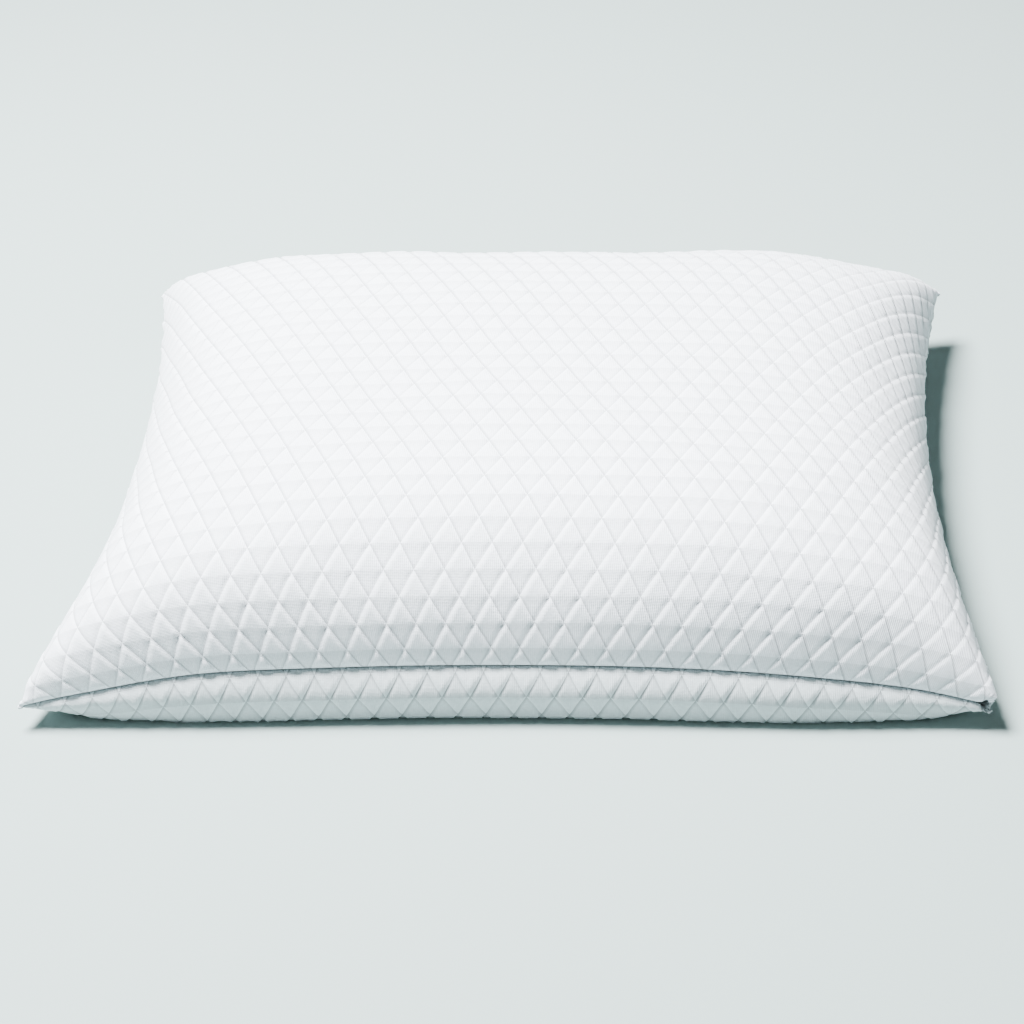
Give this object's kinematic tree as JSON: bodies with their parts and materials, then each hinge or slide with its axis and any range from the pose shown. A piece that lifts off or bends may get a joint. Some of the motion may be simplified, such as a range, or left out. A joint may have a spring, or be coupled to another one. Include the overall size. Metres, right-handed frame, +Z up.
{
  "type": "bed pillow",
  "caption": "Soft bed pillow: a zipped quilted-look knit cover over a zipped lining bag filled with loose foam.",
  "frame": {"origin": "on the surface that the pillow lies on, under the middle of its width and depth", "axes": "+X across the pillow's width, +Y from the front edge to the zipped back edge, +Z up from the surface"},
  "size_m": [0.64, 0.49, 0.1376],
  "materials": {
    "cover_knit": "matte",
    "lining_cloth": "matte",
    "seam_thread": "matte",
    "topstitching": "satin",
    "zip_tape": "matte",
    "zip_coil": "satin",
    "zip_stops": "satin",
    "cover_slider_metal": "gloss",
    "liner_slider_metal": "gloss",
    "label_ribbon": "satin",
    "shredded_foam": "matte"
  },
  "bodies": {
    "pillow": {"cover_top": "cover_knit", "cover_bottom": "cover_knit", "cover_thread_back": "seam_thread", "cover_thread_front": "seam_thread", "cover_thread_left": "seam_thread", "cover_thread_right": "seam_thread", "cover_zip_bottom_stop": "zip_stops", "cover_zip_coil_lower": "zip_coil", "cover_zip_coil_upper": "zip_coil", "cover_zip_stitching_lower": "topstitching", "cover_zip_stitching_upper": "topstitching", "cover_zip_tape_lower": "zip_tape", "cover_zip_tape_upper": "zip_tape", "cover_zip_top_stops": "zip_stops", "liner_top": "lining_cloth", "liner_bottom": "lining_cloth", "liner_thread_back": "seam_thread", "liner_thread_front": "seam_thread", "liner_thread_left": "seam_thread", "liner_thread_right": "seam_thread", "liner_zip_bottom_stop": "zip_stops", "liner_zip_coil_lower": "zip_coil", "liner_zip_coil_upper": "zip_coil", "liner_zip_stitching_lower": "topstitching", "liner_zip_stitching_upper": "topstitching", "liner_zip_tape_lower": "zip_tape", "liner_zip_tape_upper": "zip_tape", "liner_zip_top_stops": "zip_stops", "care_label": "label_ribbon", "foam_fill": "shredded_foam"},
    "cover_slider": {"cover_zip_slider": "cover_slider_metal"},
    "cover_pull": {"cover_zip_pull": "cover_slider_metal"},
    "liner_slider": {"liner_zip_slider": "liner_slider_metal"},
    "liner_pull": {"liner_zip_pull": "liner_slider_metal"}
  },
  "joints": [
    {"name": "cover_zip_slide", "type": "slide", "parent": "pillow", "child": "cover_slider", "axis": [-1, 0, 0], "range_m": [0, 0.4551]},
    {"name": "cover_pull_flip", "type": "hinge", "parent": "cover_slider", "child": "cover_pull", "pos_m": [0.2383, 0.2339, 0.04474], "axis": [0, 0, -1], "range_deg": [0, 160]},
    {"name": "liner_zip_slide", "type": "slide", "parent": "pillow", "child": "liner_slider", "axis": [-1, 0, 0], "range_m": [0, 0.3851]},
    {"name": "liner_pull_flip", "type": "hinge", "parent": "liner_slider", "child": "liner_pull", "pos_m": [0.2003, 0.2215, 0.04474], "axis": [0, 0, -1], "range_deg": [0, 14]}
  ]
}
